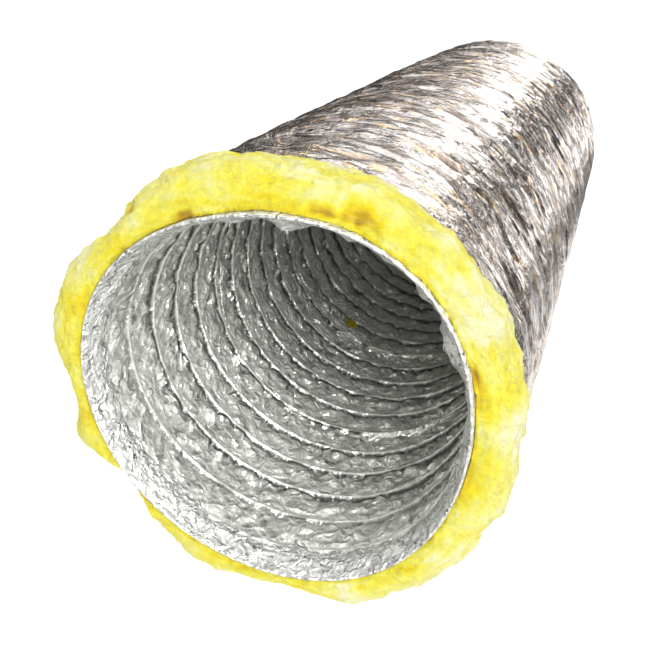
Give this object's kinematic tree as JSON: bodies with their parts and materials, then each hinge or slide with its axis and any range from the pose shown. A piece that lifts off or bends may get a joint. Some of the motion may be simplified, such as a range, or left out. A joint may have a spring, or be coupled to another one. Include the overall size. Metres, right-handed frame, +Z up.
{
  "type": "flexible air duct",
  "caption": "Insulated flexible air duct: wire-stiffened foil core, glass wool blanket and metallised film jacket; it bends and squeezes along its length.",
  "frame": {"origin": "middle of the flattened underside, on the floor that the duct lies on", "axes": "+Y along the duct's axis from the near (pictured) end to the far end, +Z up, +X to the right seen from the near end"},
  "size_m": [0.3104, 0.89, 0.3028],
  "materials": {
    "core_foil": "satin",
    "foil_tape": "satin",
    "spring_wire": "satin",
    "glass_wool": "matte",
    "jacket_film": "gloss"
  },
  "bodies": {
    "near_end": {"core_inner_ply_band_1": "core_foil", "core_outer_ply_band_1": "core_foil", "blanket_band_1": "glass_wool", "jacket_band_1": "jacket_film", "core_inner_ply_fold_1": "core_foil", "core_outer_ply_fold_1": "core_foil", "blanket_fold_1": "glass_wool", "jacket_fold_1": "jacket_film", "wire_1": "spring_wire", "rim_tape_near": "foil_tape"},
    "section_2": {"core_inner_ply_band_2": "core_foil", "core_outer_ply_band_2": "core_foil", "blanket_band_2": "glass_wool", "jacket_band_2": "jacket_film", "core_inner_ply_fold_2": "core_foil", "core_outer_ply_fold_2": "core_foil", "blanket_fold_2": "glass_wool", "jacket_fold_2": "jacket_film", "wire_2": "spring_wire"},
    "section_3": {"core_inner_ply_band_3": "core_foil", "core_outer_ply_band_3": "core_foil", "blanket_band_3": "glass_wool", "jacket_band_3": "jacket_film", "core_inner_ply_fold_3": "core_foil", "core_outer_ply_fold_3": "core_foil", "blanket_fold_3": "glass_wool", "jacket_fold_3": "jacket_film", "wire_3": "spring_wire"},
    "section_4": {"core_inner_ply_band_4": "core_foil", "core_outer_ply_band_4": "core_foil", "blanket_band_4": "glass_wool", "jacket_band_4": "jacket_film", "core_inner_ply_fold_4": "core_foil", "core_outer_ply_fold_4": "core_foil", "blanket_fold_4": "glass_wool", "jacket_fold_4": "jacket_film", "wire_4": "spring_wire"},
    "section_5": {"core_inner_ply_band_5": "core_foil", "core_outer_ply_band_5": "core_foil", "blanket_band_5": "glass_wool", "jacket_band_5": "jacket_film", "core_inner_ply_fold_5": "core_foil", "core_outer_ply_fold_5": "core_foil", "blanket_fold_5": "glass_wool", "jacket_fold_5": "jacket_film", "wire_5": "spring_wire"},
    "far_end": {"core_inner_ply_band_6": "core_foil", "core_outer_ply_band_6": "core_foil", "blanket_band_6": "glass_wool", "jacket_band_6": "jacket_film", "wire_6": "spring_wire", "rim_tape_far": "foil_tape"}
  },
  "joints": [
    {"name": "lift_near", "type": "hinge", "parent": "section_3", "child": "section_2", "pos_m": [0, -0.172, 0.1476], "axis": [-1, 0, 0], "range_deg": [0, 26], "deforming": ["core_inner_ply_fold_2", "core_outer_ply_fold_2", "blanket_fold_2", "jacket_fold_2", "wire_2"]},
    {"name": "swing_near", "type": "hinge", "parent": "section_2", "child": "near_end", "pos_m": [0, -0.324, 0.1476], "axis": [0, 0, 1], "range_deg": [-26, 26], "deforming": ["core_inner_ply_fold_1", "core_outer_ply_fold_1", "blanket_fold_1", "jacket_fold_1", "wire_1"]},
    {"name": "squeeze", "type": "slide", "parent": "section_3", "child": "section_4", "axis": [0, -1, 0], "range_m": [0, 0.108], "deforming": ["core_inner_ply_fold_3", "core_outer_ply_fold_3", "blanket_fold_3", "jacket_fold_3", "wire_3"]},
    {"name": "lift_far", "type": "hinge", "parent": "section_4", "child": "section_5", "pos_m": [0, 0.172, 0.1476], "axis": [1, 0, 0], "range_deg": [0, 26], "deforming": ["core_inner_ply_fold_4", "core_outer_ply_fold_4", "blanket_fold_4", "jacket_fold_4", "wire_4"]},
    {"name": "swing_far", "type": "hinge", "parent": "section_5", "child": "far_end", "pos_m": [0, 0.324, 0.1476], "axis": [0, 0, -1], "range_deg": [-26, 26], "deforming": ["core_inner_ply_fold_5", "core_outer_ply_fold_5", "blanket_fold_5", "jacket_fold_5", "wire_5"]}
  ]
}
